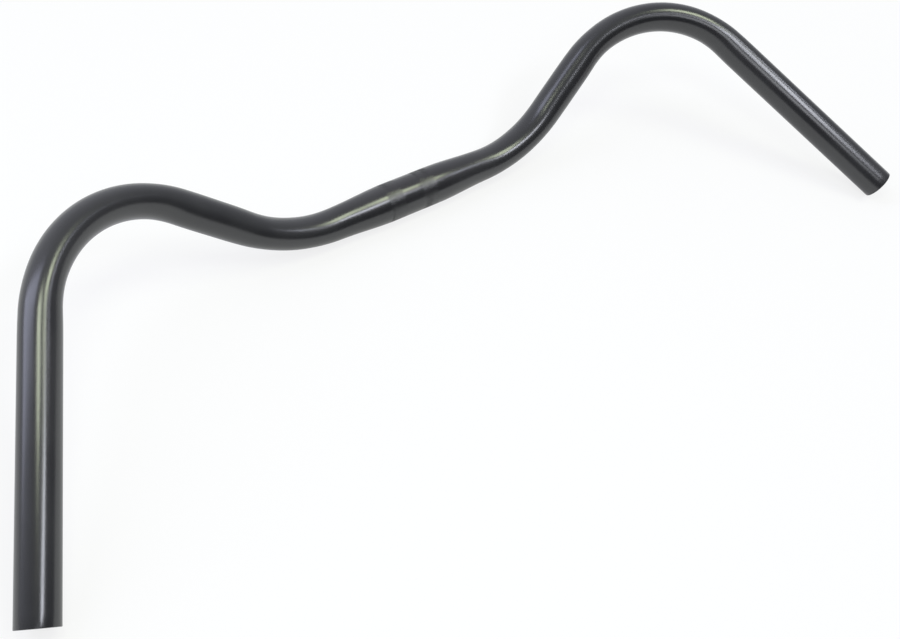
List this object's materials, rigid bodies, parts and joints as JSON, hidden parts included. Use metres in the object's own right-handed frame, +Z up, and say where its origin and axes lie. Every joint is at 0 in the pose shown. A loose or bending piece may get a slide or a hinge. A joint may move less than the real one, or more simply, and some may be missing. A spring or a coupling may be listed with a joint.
{
  "type": "bicycle handlebar",
  "caption": "Swept-back tubular handlebar for a city bicycle, swelled at the stem clamp, rising ahead of it and turning back into straight grips.",
  "frame": {"origin": "centre of the swelled middle that the stem clamps, on the tube's axis", "axes": "+X along the clamp to the rider's right, +Y ahead, +Z up; the bar is pitched about X as it lies on a level surface, on its clamp and the rims of both open ends"},
  "size_m": [0.6632, 0.1953, 0.0915],
  "materials": {
    "black_tube": "satin"
  },
  "bodies": {
    "root": {"handlebar": "black_tube"}
  },
  "joints": []
}
